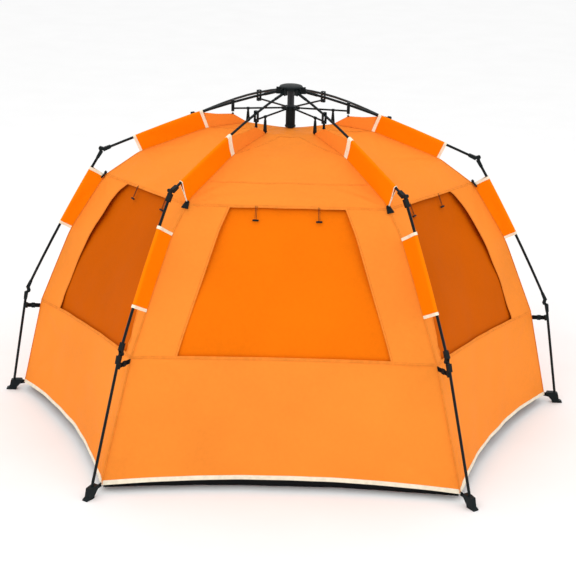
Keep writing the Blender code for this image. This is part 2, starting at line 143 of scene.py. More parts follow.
# Legs and their corner lines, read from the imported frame


class Leg:
    def __init__(self, name):
        pivot = Vector(JOINTS[f"rib_{name}_hinge"]["pos_m"])
        self.name = name
        self.azimuth = atan2(pivot.y, pivot.x)
        self.out = Vector((cos(self.azimuth), sin(self.azimuth), 0))
        self.across = Vector((-sin(self.azimuth), cos(self.azimuth), 0))
        self.is_side = abs(self.out.y) < 0.1
        self.kind = "side" if self.is_side else "end"
        self.is_rear = self.out.y > 0.1
        self.hub_pivot = self.flat(pivot)
        self.upper_pin = self.flat(Vector(JOINTS[f"upper_knee_{name}_hinge"]["pos_m"]))
        self.lower_pin = self.flat(Vector(JOINTS[f"lower_knee_{name}_hinge"]["pos_m"]))
        self.rib_line = self.pole_line(f"rib_{name}")
        self.leg_line = self.pole_line(f"upper_leg_{name}")
        self.shin_line = self.pole_line(f"lower_leg_{name}")

    def flat(self, point):
        """A point in the room as (distance out, height) in the leg's plane."""
        return Vector((point.dot(self.out), point.z))

    def room(self, flat, shift=0.0):
        return self.out * flat[0] + self.across * shift + Vector((0, 0, flat[1]))

    def plane_points(self, node, reach):
        """The node's distinct points within reach of the leg's plane, as (distance out, height)."""
        found = {}
        for vertex in frame["nodes"][node].data.vertices:
            if abs(vertex.co.dot(self.across)) < reach and vertex.co.dot(self.out) > 0:
                point = self.flat(vertex.co)
                found[round(point.x, 5), round(point.y, 5)] = point
        return list(found.values())

    def pole_line(self, node):
        """A pole's centre line, from the rings of its mesh."""
        points = self.plane_points(node, 0.02)
        start = max(points, key=lambda p: p.y)
        end = min(points, key=lambda p: p.y)
        along = (end - start).normalized()
        points.sort(key=lambda p: (p - start).dot(along))
        groups = [[points[0]]]
        for point in points[1:]:
            if (point - groups[-1][-1]).dot(along) < 0.012:
                groups[-1].append(point)
            else:
                groups.append([point])
        return [sum(group, Vector((0, 0))) / len(group) for group in groups]

    def skin_points(self, node):
        """The outer skin's points of a canopy node along this leg, from the top down."""
        points = sorted(self.plane_points(node, 0.002), key=lambda p: (p.x, p.y))
        pairs = [[points[0]]]
        for point in points[1:]:
            if (point - pairs[-1][0]).length < 0.004:
                pairs[-1].append(point)
            else:
                pairs.append([point])
        return [max(pair, key=lambda p: p.x + p.y) for pair in pairs]


def nearest_on(line, point):
    best = None
    for start, end in zip(line, line[1:]):
        along = end - start
        share = min(max((point - start).dot(along) / along.length_squared, 0), 1)
        spot = start + along * share
        if best is None or (spot - point).length < (best - point).length:
            best = spot
    return best


def along_line(line, share):
    """The point at a share of a polyline's length."""
    lengths = [(b - a).length for a, b in zip(line, line[1:])]
    left = share * sum(lengths)
    for (start, end), length in zip(zip(line, line[1:]), lengths):
        if left <= length:
            return start.lerp(end, left / length)
        left -= length
    return line[-1].copy()


def softened(points, fixed, passes):
    """Rounds the kinks of a sampled line, with the fixed samples left where they are."""
    points = np.array([tuple(p) for p in points])
    for _ in range(passes):
        moved = points.copy()
        moved[1:-1] = 0.25 * points[:-2] + 0.5 * points[1:-1] + 0.25 * points[2:]
        for k in fixed:
            moved[k] = points[k]
        points = moved
    return points


FIRST_ROW = {}
LAST_ROW = 0
for zone, count in ROWS.items():
    FIRST_ROW[zone] = LAST_ROW
    LAST_ROW += count
SPLIT_ROW = FIRST_ROW["shoulder"]  # the crown's lower edge
EAVE_ROW = FIRST_ROW["wall"]
SEAM_ROW = FIRST_ROW["skirt"]
SLEEVE_ROWS = (FIRST_ROW["roof"], FIRST_ROW["eaves"])

# The rows with a fixing at the leg, and how high its folds stand
DRAGS = [(SPLIT_ROW + 4, 0.0015), (FIRST_ROW["roof"], 0.0018), (FIRST_ROW["eaves"], 0.0022),
         (EAVE_ROW, 0.0030), (SEAM_ROW, 0.0036), (LAST_ROW, 0.0040)]


def corner_line(leg, wall_node):
    """The fabric's line under a leg as one (distance out, height) for every row of the grid."""
    tie, crown, inner, outer, eave = leg.skin_points("canopy_roof")
    _, knee, strap, base = leg.skin_points(wall_node)
    up = (knee - strap).normalized()
    seam = strap + up * (SIDE_SEAM_RISE if leg.is_side else 0.0)
    centre = Vector((0, tie.y))
    lines = {
        "crown": [centre, tie, crown],
        "shoulder": [crown, inner],
        "roof": [inner, outer],
        "eaves": [outer, eave],
        "wall": [eave, knee, seam],
        "skirt": [seam, base],
    }
    points = []
    for zone, count in ROWS.items():
        points += [along_line(lines[zone], k / count) for k in range(count)]
    points.append(base)
    return softened(points, [0, SPLIT_ROW, EAVE_ROW, SEAM_ROW], 4)


def step(x, low, high):
    x = np.clip((x - low) / (high - low), 0, 1)
    return x * x * (3 - 2 * x)


class Panel:
    """The fabric between two neighbouring legs as a grid of points: rows run down it, columns across."""

    def __init__(self, first, second, number):
        self.legs = first, second
        self.number = number
        self.is_middle = not (first.is_side or second.is_side)
        rows = np.arange(LAST_ROW + 1)
        self.share = self.columns(rows)
        self.lines = [np.array([leg.room(p) for p in CORNERS[leg.name]]) for leg in self.legs]
        stretched = self.bare(self.share)
        self.point = stretched + self.normals(stretched) * self.creases()[..., None]
        self.normal = self.normals(self.point)
        side = np.linalg.norm(np.diff(self.point, axis=0, prepend=self.point[:1]), axis=2)
        self.down = np.cumsum(side, axis=0)
        width = np.linalg.norm(self.lines[1] - self.lines[0], axis=1)
        self.reach = (self.share - 0.5) * width[:, None]

    def kind(self, end):
        return "middle" if self.is_middle else self.legs[end].kind

    def inset(self, end, rows):
        """The share of the width from an end of the panel to the window's edge, for every row."""
        kind = self.kind(end)
        top, bottom = WINDOW_INSET[kind]
        fall = np.clip((rows - EAVE_ROW) / (SEAM_ROW - EAVE_ROW), 0, 1)
        corner = np.clip(1 - fall / 0.10, 0, 1) ** 2
        return bottom + (top - bottom) * (1 - fall) ** WINDOW_CURVE + WINDOW_ROUND[kind] * corner

    def columns(self, rows):
        """The share of the width where each column stands. The window's edges are columns."""
        strip = np.linspace(0, 1, STRIP_COLUMNS + 1)[:-1]
        rest = np.linspace(0, 1, HALF_COLUMNS - STRIP_COLUMNS + 1)
        halves = []
        for end in (0, 1):
            edge = self.inset(end, rows)[:, None]
            halves.append(np.concatenate([edge * strip, edge + (0.5 - edge) * rest], axis=1))
        return np.concatenate([halves[0], 1 - halves[1][:, -2::-1]], axis=1)

    def bare(self, share):
        """The stretched surface: straight across between the corner lines, drawn in and up at the hem."""
        near, far = self.lines
        share = share[..., None]
        points = near[:, None] * (1 - share) + far[:, None] * share
        middle = 4 * share * (1 - share)
        top, bottom = near[EAVE_ROW][2], near[-1][2]
        fall = np.clip((top - points[..., 2:]) / (top - bottom), 0, 1)
        outwards = near[-1] + far[-1]
        outwards[2] = 0
        outwards /= np.linalg.norm(outwards)
        points = points - outwards * (HEM_BOW * middle * fall ** 2.2)
        rows = np.arange(LAST_ROW + 1)[:, None, None]
        bowl = step(rows, 2, SPLIT_ROW + 4) * (1 - step(rows, SPLIT_ROW, FIRST_ROW["eaves"]))
        rise = HEM_ARCH * middle * fall ** 3 - CROWN_SAG * middle * bowl
        return points + np.array([0, 0, 1.0]) * rise

    def creases(self):
        """How far each point stands off the stretched surface: slack, drags from fixings, small folds."""
        rows = np.arange(LAST_ROW + 1)[:, None] * np.ones_like(self.share)
        width = np.linalg.norm(self.lines[1] - self.lines[0], axis=1)[:, None]
        across = self.share * width
        back = width - across
        total = np.zeros_like(self.share)
        steps = np.diff(self.lines[0], axis=0, prepend=self.lines[0][:1])
        down = np.linalg.norm(steps, axis=1).cumsum()[:, None]
        for k, (fixing, height) in enumerate(DRAGS):
            for side, reach in enumerate((across, back)):
                fall = down - down[fixing]
                distance = np.hypot(reach, fall)
                angle = np.arctan2(fall, reach + 1e-4)
                phase = 1.7 * k + 2.3 * side + 0.9 * self.number
                wave = np.cos(angle * (9 + k % 3) + phase) + 0.5 * np.cos(angle * 17 + 2 * phase)
                total += height * wave * np.exp(-distance / DRAG_REACH) * step(distance, 0.0, DRAG_CLEAR)
        middle = 4 * self.share * (1 - self.share)
        fall = np.clip((rows - EAVE_ROW) / (LAST_ROW - EAVE_ROW), 0, 1)
        hem = 1 - 0.7 * step(rows, LAST_ROW - 12, LAST_ROW)
        total += HEM_WAVE * fall * middle * hem * np.cos(across * 15 + 1.3 * self.number + 1.5 * down)
        total += SMALL_WAVES[0] * middle * np.cos(across * 34 + down * 6 + self.number)
        total += SMALL_WAVES[1] * middle * np.cos(across * 11 - down * 41 + 2 * self.number)
        tall = step(rows, EAVE_ROW, EAVE_ROW + 12) * (1 - step(rows, SEAM_ROW - 12, SEAM_ROW))
        total += (STRIP_BELLY * np.sin(2 * pi * self.share) ** 2 - MIDDLE_SAG * middle) * tall
        quiet = step(rows, 0, 6) * np.clip(np.minimum(across, back) / 0.03, 0, 1)
        return total * quiet

    def normals(self, points):
        down = np.gradient(points, axis=0)
        across = np.gradient(points, axis=1)
        across[0] = across[1]
        normal = np.cross(down, across)
        return normal / np.maximum(np.linalg.norm(normal, axis=2, keepdims=True), 1e-12)

    def at(self, row, share, lift=0.0):
        """The point at a row and share of the width, lifted off the fabric, and its normal there."""
        low = min(int(row), LAST_ROW - 1)
        part = row - low
        spots = []
        for r in (low, low + 1):
            columns = np.arange(self.share.shape[1])
            column = np.interp(share, self.share[r], columns)
            left = min(int(column), len(columns) - 2)
            mix = column - left
            point = self.point[r, left] * (1 - mix) + self.point[r, left + 1] * mix
            normal = self.normal[r, left] * (1 - mix) + self.normal[r, left + 1] * mix
            spots.append((point, normal))
        point = spots[0][0] * (1 - part) + spots[1][0] * part
        normal = Vector(spots[0][1] * (1 - part) + spots[1][1] * part).normalized()
        return Vector(point) + normal * lift, normal


# Meshes


def tube_faces(rings, count, closed_ends):
    """The faces of a tube through rings of count points each."""
    faces = []
    for k in range(rings - 1):
        for j in range(count):
            a, b = k * count + j, k * count + (j + 1) % count
            faces.append((a, b, b + count, a + count))
    if closed_ends:
        faces.append(tuple(range(count))[::-1])
        faces.append(tuple(range((rings - 1) * count, rings * count)))
    return faces


class Build:
    """Gathers closed bodies into one mesh."""

    def __init__(self):
        self.verts, self.faces, self.uvs, self.normals = [], [], [], []

    def add(self, verts, faces, uvs=None, normals=None):
        start = len(self.verts)
        self.verts += [tuple(v) for v in verts]
        self.faces += [tuple(i + start for i in face) for face in faces]
        self.uvs += [tuple(p) for p in uvs] if uvs is not None else [(v[0] + v[1], v[2]) for v in verts]
        if normals is not None:
            self.normals += [tuple(n) for n in normals]

    def sheet(self, points, normals, uvs, thickness=CLOTH):
        """A closed sheet from a grid of points: an outer skin, an inner one and a rim."""
        rows, columns = points.shape[:2]
        inner = points - normals * thickness
        count = rows * columns
        index = np.arange(count).reshape(rows, columns)
        faces = []
        for r in range(rows - 1):
            for c in range(columns - 1):
                a, b, d, e = index[r, c], index[r, c + 1], index[r + 1, c + 1], index[r + 1, c]
                faces.append((a, e, d, b))
                faces.append((a + count, b + count, d + count, e + count))
        rim = [*index[0, :-1], *index[:-1, -1], *index[-1, :0:-1], *index[:0:-1, 0]]
        for k, a in enumerate(rim):
            b = rim[(k + 1) % len(rim)]
            faces.append((a, b, b + count, a + count))
        flat = uvs.reshape(-1, 2)
        skins = np.concatenate([points.reshape(-1, 3), inner.reshape(-1, 3)])
        shading = np.concatenate([normals.reshape(-1, 3), -normals.reshape(-1, 3)])
        self.add(skins, faces, np.concatenate([flat, flat]), shading)

    def strip(self, spots, half_width, height):
        """A low tape laid along (point, normal) spots, with rounded edges and closed ends."""
        profile = [(-1, 0), (-0.9, 0.75), (-0.5, 1), (0, 1.06), (0.5, 1), (0.9, 0.75), (1, 0)]
        count = len(profile) + 2
        verts, uvs = [], []
        travel = 0.0
        for k, (point, normal) in enumerate(spots):
            ahead = (spots[min(k + 1, len(spots) - 1)][0] - spots[max(k - 1, 0)][0]).normalized()
            side = normal.cross(ahead).normalized()
            if k:
                travel += (point - spots[k - 1][0]).length
            for across, up in profile:
                verts.append(point + side * (across * half_width) + normal * (up * height))
                uvs.append((across * half_width, travel))
            for across in (1, -1):
                verts.append(point + side * (across * half_width * 0.98) - normal * TAPE_SINK)
                uvs.append((across * half_width, travel))
        self.add(verts, tube_faces(len(spots), count, True), uvs)

    def loft(self, rings, closed_ends=True):
        """A tube through matching rings of points."""
        verts = [p for ring in rings for p in ring]
        self.add(verts, tube_faces(len(rings), len(rings[0]), closed_ends))

    def rod(self, path, radius, sides):
        """A round cord along room points, with rounded ends."""
        rings = []
        for k, point in enumerate(path):
            ahead = (path[min(k + 1, len(path) - 1)] - path[max(k - 1, 0)]).normalized()
            side = ahead.orthogonal() if k == 0 else side - ahead * side.dot(ahead)
            side = side.normalized()
            up = ahead.cross(side)
            ends = 0.55 if k in (0, len(path) - 1) else 1.0
            turns = [2 * pi * j / sides for j in range(sides)]
            rings.append([point + (side * cos(a) + up * sin(a)) * (radius * ends) for a in turns])
        self.loft(rings)

    def block(self, place, size, bevel, corner=None):
        """A moulded block: a bevelled box, set by a matrix. corner may move its points first."""
        bm = bmesh.new()
        bmesh.ops.create_cube(bm, size=1.0)
        bmesh.ops.scale(bm, vec=size, verts=bm.verts)
        if corner:
            for vertex in bm.verts:
                vertex.co = corner(vertex.co)
        geom = bm.edges[:] + bm.verts[:]
        bmesh.ops.bevel(bm, geom=geom, offset=bevel, segments=3, affect="EDGES", profile=0.6)
        bmesh.ops.transform(bm, matrix=place, verts=bm.verts)
        bm.verts.index_update()
        self.add([v.co for v in bm.verts], [[v.index for v in f.verts] for f in bm.faces])
        bm.free()

    def mesh(self, name, angle):
        """The mesh. It keeps the normals it came with, or edges sharper than angle degrees stay sharp."""
        mesh = bpy.data.meshes.new(name)
        mesh.from_pydata(self.verts, [], self.faces)
        mesh.shade_smooth()
        layer = mesh.uv_layers.new(name="weave")
        loops = np.zeros(len(mesh.loops), np.int32)
        mesh.loops.foreach_get("vertex_index", loops)
        layer.data.foreach_set("uv", np.asarray(self.uvs, np.float32)[loops].ravel())
        if self.normals:
            mesh.normals_split_custom_set_from_vertices(self.normals)
            return mesh
        bm = bmesh.new()
        bm.from_mesh(mesh)
        bmesh.ops.recalc_face_normals(bm, faces=bm.faces)
        bm.to_mesh(mesh)
        bm.free()
        mesh.set_sharp_from_angle(angle=radians(angle))
        return mesh

    def piece(self, name, material, angle=50):
        piece = bpy.data.objects.new(name, self.mesh(name, angle))
        piece.data.materials.append(MATERIALS[material])
        bpy.context.scene.collection.objects.link(piece)
        return piece

    def ride(self, name, material, body, angle=50):
        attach(self.piece(name, material, angle), body)


# Materials. UV "weave" holds metres along and across the cloth.

CLOTH_SPECULAR = 0.015
CRINKLE = 0.35
WORN_EDGE = 1.9  # how much paler a moulded part's edges are
STITCH_PITCH = 1600  # radians per metre of tape


class Nodes:
    """Short helper to wire a material."""

    def __init__(self, name):
        self.material = bpy.data.materials.new(name)
        self.material.use_nodes = True
        self.tree = self.material.node_tree
        self.shader = self.tree.nodes["Principled BSDF"]

    def add(self, kind, inputs=None, **settings):
        node = self.tree.nodes.new(kind)
        for key, value in settings.items():
            setattr(node, key, value)
        for key, value in (inputs or {}).items():
            if isinstance(value, bpy.types.NodeSocket):
                self.tree.links.new(value, node.inputs[key])
            else:
                node.inputs[key].default_value = value
        return node

    def math(self, operation, a, b=0.0, c=0.0):
        return self.add("ShaderNodeMath", {0: a, 1: b, 2: c}, operation=operation).outputs[0]

    def noise(self, vector, scale, detail=3.0, rough=0.5):
        inputs = {"Vector": vector, "Scale": scale, "Detail": detail, "Roughness": rough}
        return self.add("ShaderNodeTexNoise", inputs).outputs["Fac"]

    def ramp(self, value, stops):
        node = self.add("ShaderNodeValToRGB", {"Fac": value})
        while len(node.color_ramp.elements) < len(stops):
            node.color_ramp.elements.new(0.5)
        for element, (place, colour) in zip(node.color_ramp.elements, stops):
            element.position = place
            element.color = (*colour, 1.0)
        return node.outputs["Color"]

    def bump(self, height, strength, distance, normal=None):
        inputs = {"Height": height, "Strength": strength, "Distance": distance}
        if normal is not None:
            inputs["Normal"] = normal
        return self.add("ShaderNodeBump", inputs).outputs["Normal"]

    def link(self, output, socket):
        self.tree.links.new(output, self.shader.inputs[socket])

    def set(self, values):
        """Puts constants on the shader's own sockets."""
        for socket, value in values.items():
            self.shader.inputs[socket].default_value = value


def tone(colour, factor):
    return tuple(min(c * factor, 1.0) for c in colour)


def weave(nodes, pitch):
    """Height of a plain weave, threads in two directions, from the cloth's own coordinates."""
    uv = nodes.add("ShaderNodeUVMap", uv_map="weave").outputs["UV"]
    axes = nodes.add("ShaderNodeSeparateXYZ", {0: uv})
    turn = 2 * pi / pitch
    warp = nodes.math("SINE", nodes.math("MULTIPLY", axes.outputs["X"], turn))
    weft = nodes.math("SINE", nodes.math("MULTIPLY", axes.outputs["Y"], turn))
    return uv, nodes.math("MULTIPLY", warp, weft)


def cloth(name, colour, roughness, pitch=0.0016, depth=0.18, sheen=0.0):
    nodes = Nodes(name)
    room = nodes.add("ShaderNodeTexCoord").outputs["Object"]
    _, thread = weave(nodes, pitch)
    wide = nodes.noise(room, 2.2, 4.0)
    fine = nodes.noise(room, 60.0, 4.0, 0.6)
    mixed = nodes.math("ADD", nodes.math("MULTIPLY", wide, 0.72), nodes.math("MULTIPLY", fine, 0.28))
    shade = nodes.math("MULTIPLY_ADD", thread, 0.035, mixed)
    stops = [(0.30, tone(colour, 0.90)), (0.52, colour), (0.75, tone(colour, 1.08))]
    nodes.link(nodes.ramp(shade, stops), "Base Color")
    nodes.link(nodes.math("MULTIPLY_ADD", fine, 0.22, roughness - 0.11), "Roughness")
    soft = nodes.bump(nodes.noise(room, 26.0, 5.0, 0.55), CRINKLE, 0.0016)
    nodes.link(nodes.bump(thread, depth, 0.00025, soft), "Normal")
    nodes.set({"Sheen Weight": sheen, "Sheen Roughness": 0.4, "Specular IOR Level": CLOTH_SPECULAR})
    return nodes.material


def tape(name, colour, roughness, pitch=0.0022, stitches=0.0035):
    """Binding or webbing: a coarse weave with a row of stitches near each edge."""
    nodes = Nodes(name)
    uv, thread = weave(nodes, pitch)
    axes = nodes.add("ShaderNodeSeparateXYZ", {0: uv})
    away = nodes.math("ABSOLUTE", axes.outputs["X"])
    on_line = nodes.math("COMPARE", away, stitches, 0.0006)
    beat = nodes.math("SINE", nodes.math("MULTIPLY", axes.outputs["Y"], STITCH_PITCH))
    dash = nodes.math("GREATER_THAN", beat, -0.3)
    stitch = nodes.math("MULTIPLY", on_line, dash)
    room = nodes.add("ShaderNodeTexCoord").outputs["Object"]
    grime = nodes.noise(room, 40.0, 4.0)
    shade = nodes.math("MULTIPLY_ADD", thread, 0.12, grime)
    base = nodes.ramp(shade, [(0.25, tone(colour, 0.86)), (0.75, tone(colour, 1.06))])
    mix = nodes.add("ShaderNodeMix", {0: stitch, 6: base, 7: (*tone(colour, 0.62), 1)}, data_type="RGBA")
    nodes.link(mix.outputs[2], "Base Color")
    nodes.link(nodes.math("MULTIPLY_ADD", grime, 0.2, roughness - 0.1), "Roughness")
    height = nodes.math("MULTIPLY_ADD", stitch, -1.2, thread)
    nodes.link(nodes.bump(height, 0.45, 0.0003), "Normal")
    nodes.set({"Specular IOR Level": CLOTH_SPECULAR})
    return nodes.material


def moulded(name, colour, roughness, metallic=0.0, grain=420.0, specular=0.2):
    """Moulded plastic, a drawn rod or metal: fine grain, a little unevenness and paler edges."""
    nodes = Nodes(name)
    room = nodes.add("ShaderNodeTexCoord").outputs["Object"]
    cloudy = nodes.noise(room, 30.0, 4.0)
    speck = nodes.noise(room, grain, 2.0)
    geometry = nodes.add("ShaderNodeNewGeometry")
    edge = nodes.ramp(geometry.outputs["Pointiness"], [(0.50, (0, 0, 0)), (0.58, (1, 1, 1))])
    base = nodes.ramp(cloudy, [(0.3, tone(colour, 0.8)), (0.7, tone(colour, 1.25))])
    worn_share = nodes.math("MULTIPLY", edge, 0.5)
    inputs = {0: worn_share, 6: base, 7: (*tone(colour, WORN_EDGE), 1)}
    mix = nodes.add("ShaderNodeMix", inputs, data_type="RGBA")
    nodes.link(mix.outputs[2], "Base Color")
    nodes.link(nodes.math("MULTIPLY_ADD", cloudy, 0.25, roughness - 0.12), "Roughness")
    nodes.link(nodes.bump(speck, 0.25, 0.0002), "Normal")
    nodes.set({"Metallic": metallic, "Specular IOR Level": specular})
    return nodes.material


MATERIALS = {
    "cloth": cloth("orange_cloth", (0.93, 0.268, 0.034), 0.52),
    "sleeve": cloth("orange_sleeve", (0.95, 0.212, 0.001), 0.50),
    # The window covers are darker than the cloth by painted shade, the dark inside seen through their mesh;
    # the side covers carry a deeper painted shade.
    "window": cloth("orange_window", (0.88, 0.175, 0.003), 0.62, pitch=0.0024, depth=0.3),
    "window_shaded": cloth("orange_window_shaded", (0.58, 0.103, 0.001), 0.62, pitch=0.0024, depth=0.3),
    "seam": tape("orange_seam_tape", (0.93, 0.264, 0.034), 0.55, pitch=0.0018, stitches=0.0030),
    "cream": tape("cream_binding", (0.93, 0.84, 0.66), 0.60),
    "webbing": tape("black_webbing", (0.007, 0.008, 0.009), 0.62, pitch=0.0030),
    # Painted shade: a black sheet for the dark gap under the front and rear hems.
    "flap": cloth("black_flap", (0.012, 0.012, 0.013), 0.60, sheen=0.02),
    "plastic": moulded("black_moulded", (0.006, 0.009, 0.010), 0.42, specular=0.08),
    "pole": moulded("black_rod", (0.004, 0.007, 0.008), 0.34, grain=900.0, specular=0.12),
    "metal": moulded("dark_anodised", (0.022, 0.025, 0.028), 0.36, metallic=0.4, grain=700.0),
}


# Pieces of cloth. A zone of the grid rides one body of its leg.

ROOF = (SPLIT_ROW, EAVE_ROW, "rib", "rib")
WALL = (EAVE_ROW, SEAM_ROW, "upper_leg", "upper_knee")
SKIRT = (SEAM_ROW, LAST_ROW, "lower_leg", "lower_knee")


class Half:
    """A leg's half of one panel, from the leg to mid-panel. Its parts are shares of the panel's width."""

    def __init__(self, leg, panel):
        self.leg, self.panel = leg, panel
        self.end = panel.legs.index(leg)
        self.name = f"{leg.name}_to_{panel.legs[1 - self.end].name}"
        self.kind = panel.kind(self.end)

    def at(self, row, part, lift=0.0):
        return self.panel.at(row, part if self.end == 0 else 1 - part, lift)

    def across(self, row, first=0.0, steps=14):
        """Spots from the leg to mid-panel along a row, or along a row that is a function of the part."""
        parts = [first + (0.5 - first) * k / steps for k in range(steps + 1)]
        return [self.at(row(part) if callable(row) else row, part) for part in parts]

    def grid(self, rows, first, last):
        """The panel's points, normals and cloth coordinates in rows, from column first to last."""
        end = 2 * HALF_COLUMNS
        columns = slice(first, last + 1) if self.end == 0 else slice(end - last, end - first + 1)
        panel = self.panel
        uvs = np.stack([panel.reach[rows, columns], panel.down[rows, columns]], axis=2)
        return panel.point[rows, columns], panel.normal[rows, columns], uvs

    def sheet(self, name, zone, last=HALF_COLUMNS):
        build = Build()
        build.sheet(*self.grid(slice(zone[0], zone[1] + 1), 0, last))
        return self.fold(build, name, "cloth", zone)

    def fold(self, build, name, material, zone, angle=50):
        """Makes a piece that rides the zone's body."""
        piece = build.piece(f"{name}_{self.name}", material, angle)
        low, high, body, joint = zone
        corner = self.panel.lines[self.end][low:high + 1]
        middle = corner.mean(axis=0)
        along = (corner[-1] - corner[0]) / np.linalg.norm(corner[-1] - corner[0])
        spread = self.grid(slice(low, high + 1), 0, HALF_COLUMNS)[0].mean(axis=(0, 1)) - middle
        spread -= along * spread.dot(along)
        spread /= np.linalg.norm(spread)
        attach(piece, f"{body}_{self.leg.name}")
        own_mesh(piece)
        return piece


def window(half):
    """The cover behind the wall's opening, gently waved."""
    low, high = EAVE_ROW - 1, SEAM_ROW + 1
    points, normals, uvs = half.grid(slice(low, high + 1), STRIP_COLUMNS - WINDOW_OVERLAP, HALF_COLUMNS)
    fall = np.linspace(0, 1, high - low + 1)[:, None, None]
    build = Build()
    build.sheet(points - normals * (WINDOW_RECESS + WINDOW_WAVE * np.sin(2 * pi * fall)), normals, uvs)
    # Middle covers take the painted shade, side covers the deeper painted shade.
    half.fold(build, "window", "window" if half.kind == "middle" else "window_shaded", WALL)


def corner_spots(leg, low, high):
    """Spots along the seam where a leg's two panels meet."""
    spots = []
    for r in range(low, high + 1):
        pair = [half.at(r, 0.0) for half in HALVES[leg.name]]
        spots.append(((pair[0][0] + pair[1][0]) / 2, (pair[0][1] + pair[1][1]).normalized()))
    return spots


def crown_piece(half):
    """The crown stays at the hub."""
    build = Build()
    build.sheet(*half.grid(slice(0, SPLIT_ROW + 1), 0, HALF_COLUMNS))
    piece = build.piece(f"crown_{half.name}", "cloth")
    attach(piece, "hub")
    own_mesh(piece)


def seam_piece(name, half, build, zone):
    """Finishes a half's seam tapes, with the corner seam sewn to the first half."""
    if half.end == 0:
        build.strip(corner_spots(half.leg, zone[0], zone[1]), 0.0045, 0.0008)
    half.fold(build, name, "seam", zone)


def crown_seam_row(part):
    """The crown's seam runs from the sleeve's inner end up towards the hub in mid-panel."""
    return SPLIT_ROW + 0.5 + (ROWS["shoulder"] - 0.5) * max(0, 1 - part / 0.32) ** 1.3


def roof_seams(half):
    build = Build()
    build.strip(half.across(crown_seam_row), 0.0035, 0.0007)
    build.strip(half.across(EAVE_ROW - 0.35), 0.0065, 0.0011)
    if half.kind == "middle":
        build.strip(half.across(FIRST_ROW["roof"] + 0.62 * ROWS["roof"], 0.02), 0.0040, 0.0009)
    seam_piece("roof_seams", half, build, ROOF)


def wall_seams(half):
    """The binding round the window cover."""
    build = Build()
    spots = []
    for row in range(EAVE_ROW, SEAM_ROW + 1):
        part = float(half.panel.inset(half.end, np.array([row]))[0]) - 0.004
        spots.append(half.at(row, part))
    build.strip(spots, 0.0045, 0.0013)
    seam_piece("window_binding", half, build, WALL)


def skirt_seams(half):
    build = Build()
    build.strip(half.across(SEAM_ROW + 0.3), 0.0070, 0.0012)
    seam_piece("skirt_seams", half, build, SKIRT)


def hem_binding(half):
    """The cream binding folded round the hem."""
    build = Build()
    puff = 0.0022
    tops = half.across(LAST_ROW - 0.75, steps=18)
    bottoms = half.across(LAST_ROW, steps=18)
    rings = []
    for (top, normal), (bottom, _) in zip(tops, bottoms):
        down = (bottom - top).normalized() * 0.004
        rings.append([top + normal * 0.0002, top + normal * puff, bottom + normal * puff,
                      bottom + down + normal * 0.0012, bottom + down - normal * 0.0022,
                      bottom - normal * (puff + CLOTH), top - normal * (puff + CLOTH),
                      top - normal * (CLOTH + 0.0002)])
    build.loft(rings)
    half.fold(build, "hem_binding", "cream", SKIRT, 70)


def mud_flap(half):
    """A black strip inside the front and rear hems, down to the ground: painted shade for the dark gap
    under them.
    """
    if half.kind != "middle":
        return
    line = half.across(LAST_ROW - 1.5, steps=18)
    line = line if half.end == 0 else line[::-1]
    grid = []
    for drop in (0, 1 / 3, 2 / 3, 1):
        row = []
        for spot, normal in line:
            inward = Vector((-normal.x, -normal.y, 0)).normalized()
            inset = FLAP_INSET[0] + (FLAP_INSET[1] - FLAP_INSET[0]) * drop
            row.append(spot + inward * inset + Vector((0, 0, (FLAP_FOOT - spot.z) * drop)))
        grid.append(row)
    grid = np.array(grid)
    normal = np.cross(np.gradient(grid, axis=0), np.gradient(grid, axis=1))
    normal /= np.linalg.norm(normal, axis=2, keepdims=True)
    build = Build()
    build.sheet(grid, normal, np.stack([np.hypot(grid[..., 0], grid[..., 1]), grid[..., 2]], axis=2))
    half.fold(build, "mud_flap", "flap", SKIRT)


def toggles(half):
    """The T toggles and elastic loops that hold a rolled-up window cover."""
    part = TOGGLE_PART[half.kind]
    build = Build()
    top, normal = half.at(EAVE_ROW - 0.6, part, 0.002)
    across = normal.cross(Vector((0, 0, 1))).normalized()
    drop = (Vector((0, 0, -1)) + normal * 0.45).normalized()
    clear = normal * 0.002
    for side in (-ELASTIC_GAP, ELASTIC_GAP):
        start = top + across * side + clear
        build.rod(straight(start, start + drop * (TOGGLE_DROP - 0.002), 5), ELASTIC_RADIUS, 8)
    bar = top + drop * TOGGLE_DROP + clear
    build.rod([bar + across * s for s in (-0.013, -0.011, 0, 0.011, 0.013)], TOGGLE_RADIUS, 10)
    half.fold(build, "toggles", "plastic", WALL, SHARP_ANGLE)


def dress_half(half):
    crown_piece(half)
    roof = half.sheet("roof", ROOF)
    strip = half.sheet("wall_strip", WALL, STRIP_COLUMNS)
    half.sheet("skirt", SKIRT)
    if half is HALVES["right"][0]:
        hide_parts("canopy_roof")
        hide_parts(*WALL_NODES)
    for make in (window, roof_seams, wall_seams, skirt_seams, hem_binding, mud_flap, toggles):
        make(half)


# Sleeves round the poles


def sleeve_rings(leg, spots, pole, radius, grow=0.0):
    """Teardrop rings from the fabric to round the pole, one for each fabric point."""
    wide = radius + 0.0016 + grow
    shares = (0.18, 0.38, 0.62, 0.84, 1.0)
    rings = []
    for fabric in spots:
        centre = nearest_on(pole, fabric)
        away = (centre - fabric).normalized()
        turns = [pi * (k / 6 - 0.5) for k in range(7)]
        ring = [(centre + away * (wide * cos(turn)), wide * sin(turn)) for turn in turns]
        thin = 0.0009 + grow
        fin = [(centre.lerp(fabric, share), max(wide * (1 - share) ** 1.6, thin)) for share in shares]
        ring += fin + [(spot, -shift) for spot, shift in reversed(fin)]
        rings.append([leg.room(spot, shift) for spot, shift in ring])
    return rings


def line_between(line, low, high, count):
    """Points of a corner line between two rows."""
    index = np.arange(len(line))
    return [Vector([np.interp(r, index, side) for side in line.T]) for r in np.linspace(low, high, count)]


